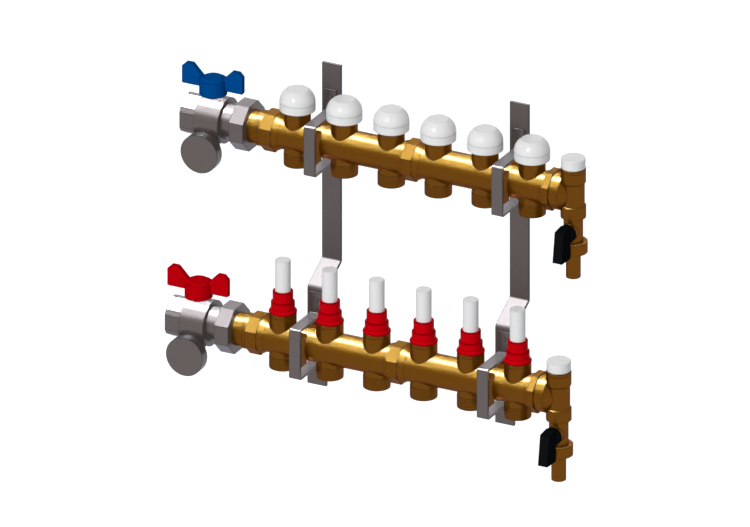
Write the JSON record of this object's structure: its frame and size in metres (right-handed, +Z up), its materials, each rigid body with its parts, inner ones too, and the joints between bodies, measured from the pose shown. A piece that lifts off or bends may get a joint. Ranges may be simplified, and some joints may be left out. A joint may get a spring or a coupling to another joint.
{
  "type": "distribution manifold",
  "caption": "Floor heating distribution manifold: brass supply and return rails on bent wall bars, with ball valves, gauges, capped valves, flow meters and drain cocks.",
  "frame": {"origin": "back face of the left wall bar on its centre line, at the height of the upper rail's axis", "axes": "+X along the rails from the inlets to the drains, +Y into the wall, +Z up"},
  "size_m": [0.4296, 0.0877, 0.3558],
  "materials": {
    "brass": "satin cast and turned brass",
    "nickel": "satin nickel plate",
    "steel": "zinc-plated strip",
    "pad": "moulded brown plastic",
    "white_plastic": "smooth moulded",
    "white_tube": "milky, smooth",
    "red_plastic": "smooth moulded",
    "blue_handle": "smooth paint",
    "red_handle": "smooth paint",
    "black_plastic": "fine moulded",
    "seal_rubber": "smooth"
  },
  "bodies": {
    "root": {"left_bar": "steel", "right_bar": "steel", "pipe_straps": "steel", "strap_rivets": "steel", "clamp_pads": "pad", "upper_rail_inlet": "brass", "upper_rail_end": "brass", "lower_rail_inlet": "brass", "lower_rail_end": "brass", "union_tailpieces": "brass", "union_rings": "steel", "union_nuts": "nickel", "valve_bodies": "nickel", "valve_ends": "nickel", "gauges": "nickel", "end_tees": "brass", "vent_plugs": "brass", "drain_bodies": "brass", "hose_tails": "brass", "hose_nuts": "brass", "valve_inserts": "brass", "meter_bodies": "brass", "sight_tubes": "white_tube", "seals": "seal_rubber"},
    "upper_ball_valve": {"upper_handle": "blue_handle", "upper_valve_stem": "nickel", "upper_ball": "nickel"},
    "upper_vent_cap": {"upper_vent_cap": "white_plastic"},
    "upper_drain": {"upper_drain_lever": "black_plastic", "upper_drain_spindle": "brass"},
    "lower_ball_valve": {"lower_handle": "red_handle", "lower_valve_stem": "nickel", "lower_ball": "nickel"},
    "lower_vent_cap": {"lower_vent_cap": "white_plastic"},
    "lower_drain": {"lower_drain_lever": "black_plastic", "lower_drain_spindle": "brass"},
    "valve_pin_1": {"valve_pin_1": "nickel"},
    "cap_1": {"cap_1": "white_plastic"},
    "valve_pin_2": {"valve_pin_2": "nickel"},
    "cap_2": {"cap_2": "white_plastic"},
    "valve_pin_3": {"valve_pin_3": "nickel"},
    "cap_3": {"cap_3": "white_plastic"},
    "valve_pin_4": {"valve_pin_4": "nickel"},
    "cap_4": {"cap_4": "white_plastic"},
    "valve_pin_5": {"valve_pin_5": "nickel"},
    "cap_5": {"cap_5": "white_plastic"},
    "valve_pin_6": {"valve_pin_6": "nickel"},
    "cap_6": {"cap_6": "white_plastic"},
    "flow_collar_1": {"flow_collar_1": "red_plastic"},
    "flow_float_1": {"flow_float_1": "red_plastic"},
    "flow_collar_2": {"flow_collar_2": "red_plastic"},
    "flow_float_2": {"flow_float_2": "red_plastic"},
    "flow_collar_3": {"flow_collar_3": "red_plastic"},
    "flow_float_3": {"flow_float_3": "red_plastic"},
    "flow_collar_4": {"flow_collar_4": "red_plastic"},
    "flow_float_4": {"flow_float_4": "red_plastic"},
    "flow_collar_5": {"flow_collar_5": "red_plastic"},
    "flow_float_5": {"flow_float_5": "red_plastic"},
    "flow_collar_6": {"flow_collar_6": "red_plastic"},
    "flow_float_6": {"flow_float_6": "red_plastic"}
  },
  "joints": [
    {"name": "upper_valve_turn", "type": "hinge", "parent": "root", "child": "upper_ball_valve", "pos_m": [-0.1152, -0.0237, 0.025], "axis": [0, 0, 1], "range_deg": [-90, 0]},
    {"name": "upper_vent_turn", "type": "hinge", "parent": "root", "child": "upper_vent_cap", "pos_m": [0.2683, -0.0237, 0.03], "axis": [0, 0, 1], "range_deg": [0, 360]},
    {"name": "upper_drain_turn", "type": "hinge", "parent": "root", "child": "upper_drain", "pos_m": [0.2683, -0.0237, -0.037], "axis": [0, -1, 0], "range_deg": [0, 90]},
    {"name": "lower_valve_turn", "type": "hinge", "parent": "root", "child": "lower_ball_valve", "pos_m": [-0.1152, -0.054, -0.1736], "axis": [0, 0, 1], "range_deg": [-90, 0]},
    {"name": "lower_vent_turn", "type": "hinge", "parent": "root", "child": "lower_vent_cap", "pos_m": [0.2683, -0.054, -0.1686], "axis": [0, 0, 1], "range_deg": [0, 360]},
    {"name": "lower_drain_turn", "type": "hinge", "parent": "root", "child": "lower_drain", "pos_m": [0.2683, -0.054, -0.2356], "axis": [0, -1, 0], "range_deg": [0, 90]},
    {"name": "valve_lift_1", "type": "slide", "parent": "root", "child": "valve_pin_1", "axis": [0, 0, 1], "range_m": [-0.00301, 0]},
    {"name": "cap_turn_1", "type": "hinge", "parent": "valve_pin_1", "child": "cap_1", "pos_m": [-0.0255, -0.0237, 0.04], "axis": [0, 0, 1], "range_deg": [-720, 0]},
    {"name": "valve_lift_2", "type": "slide", "parent": "root", "child": "valve_pin_2", "axis": [0, 0, 1], "range_m": [-0.00301, 0]},
    {"name": "cap_turn_2", "type": "hinge", "parent": "valve_pin_2", "child": "cap_2", "pos_m": [0.0245, -0.0237, 0.04], "axis": [0, 0, 1], "range_deg": [-720, 0]},
    {"name": "valve_lift_3", "type": "slide", "parent": "root", "child": "valve_pin_3", "axis": [0, 0, 1], "range_m": [-0.00301, 0]},
    {"name": "cap_turn_3", "type": "hinge", "parent": "valve_pin_3", "child": "cap_3", "pos_m": [0.0745, -0.0237, 0.04], "axis": [0, 0, 1], "range_deg": [-720, 0]},
    {"name": "valve_lift_4", "type": "slide", "parent": "root", "child": "valve_pin_4", "axis": [0, 0, 1], "range_m": [-0.00301, 0]},
    {"name": "cap_turn_4", "type": "hinge", "parent": "valve_pin_4", "child": "cap_4", "pos_m": [0.1245, -0.0237, 0.04], "axis": [0, 0, 1], "range_deg": [-720, 0]},
    {"name": "valve_lift_5", "type": "slide", "parent": "root", "child": "valve_pin_5", "axis": [0, 0, 1], "range_m": [-0.00301, 0]},
    {"name": "cap_turn_5", "type": "hinge", "parent": "valve_pin_5", "child": "cap_5", "pos_m": [0.1745, -0.0237, 0.04], "axis": [0, 0, 1], "range_deg": [-720, 0]},
    {"name": "valve_lift_6", "type": "slide", "parent": "root", "child": "valve_pin_6", "axis": [0, 0, 1], "range_m": [-0.00301, 0]},
    {"name": "cap_turn_6", "type": "hinge", "parent": "valve_pin_6", "child": "cap_6", "pos_m": [0.2245, -0.0237, 0.04], "axis": [0, 0, 1], "range_deg": [-720, 0]},
    {"name": "flow_set_1", "type": "hinge", "parent": "root", "child": "flow_collar_1", "pos_m": [-0.0255, -0.054, -0.1606], "axis": [0, 0, 1], "range_deg": [-720, 0]},
    {"name": "flow_read_1", "type": "slide", "parent": "root", "child": "flow_float_1", "axis": [0, 0, 1], "range_m": [-0.017, 0], "stiffness_N_per_m": 30, "springref_m": 0.01},
    {"name": "flow_set_2", "type": "hinge", "parent": "root", "child": "flow_collar_2", "pos_m": [0.0245, -0.054, -0.1606], "axis": [0, 0, 1], "range_deg": [-720, 0]},
    {"name": "flow_read_2", "type": "slide", "parent": "root", "child": "flow_float_2", "axis": [0, 0, 1], "range_m": [-0.017, 0], "stiffness_N_per_m": 30, "springref_m": 0.01},
    {"name": "flow_set_3", "type": "hinge", "parent": "root", "child": "flow_collar_3", "pos_m": [0.0745, -0.054, -0.1606], "axis": [0, 0, 1], "range_deg": [-720, 0]},
    {"name": "flow_read_3", "type": "slide", "parent": "root", "child": "flow_float_3", "axis": [0, 0, 1], "range_m": [-0.017, 0], "stiffness_N_per_m": 30, "springref_m": 0.01},
    {"name": "flow_set_4", "type": "hinge", "parent": "root", "child": "flow_collar_4", "pos_m": [0.1245, -0.054, -0.1606], "axis": [0, 0, 1], "range_deg": [-720, 0]},
    {"name": "flow_read_4", "type": "slide", "parent": "root", "child": "flow_float_4", "axis": [0, 0, 1], "range_m": [-0.017, 0], "stiffness_N_per_m": 30, "springref_m": 0.01},
    {"name": "flow_set_5", "type": "hinge", "parent": "root", "child": "flow_collar_5", "pos_m": [0.1745, -0.054, -0.1606], "axis": [0, 0, 1], "range_deg": [-720, 0]},
    {"name": "flow_read_5", "type": "slide", "parent": "root", "child": "flow_float_5", "axis": [0, 0, 1], "range_m": [-0.017, 0], "stiffness_N_per_m": 30, "springref_m": 0.01},
    {"name": "flow_set_6", "type": "hinge", "parent": "root", "child": "flow_collar_6", "pos_m": [0.2245, -0.054, -0.1606], "axis": [0, 0, 1], "range_deg": [-720, 0]},
    {"name": "flow_read_6", "type": "slide", "parent": "root", "child": "flow_float_6", "axis": [0, 0, 1], "range_m": [-0.017, 0], "stiffness_N_per_m": 30, "springref_m": 0.01}
  ],
  "couplings": [
    {"joint": "valve_lift_1", "follows": "cap_turn_1", "m_per_rad": 0.00023873},
    {"joint": "valve_lift_2", "follows": "cap_turn_2", "m_per_rad": 0.00023873},
    {"joint": "valve_lift_3", "follows": "cap_turn_3", "m_per_rad": 0.00023873},
    {"joint": "valve_lift_4", "follows": "cap_turn_4", "m_per_rad": 0.00023873},
    {"joint": "valve_lift_5", "follows": "cap_turn_5", "m_per_rad": 0.00023873},
    {"joint": "valve_lift_6", "follows": "cap_turn_6", "m_per_rad": 0.00023873}
  ]
}
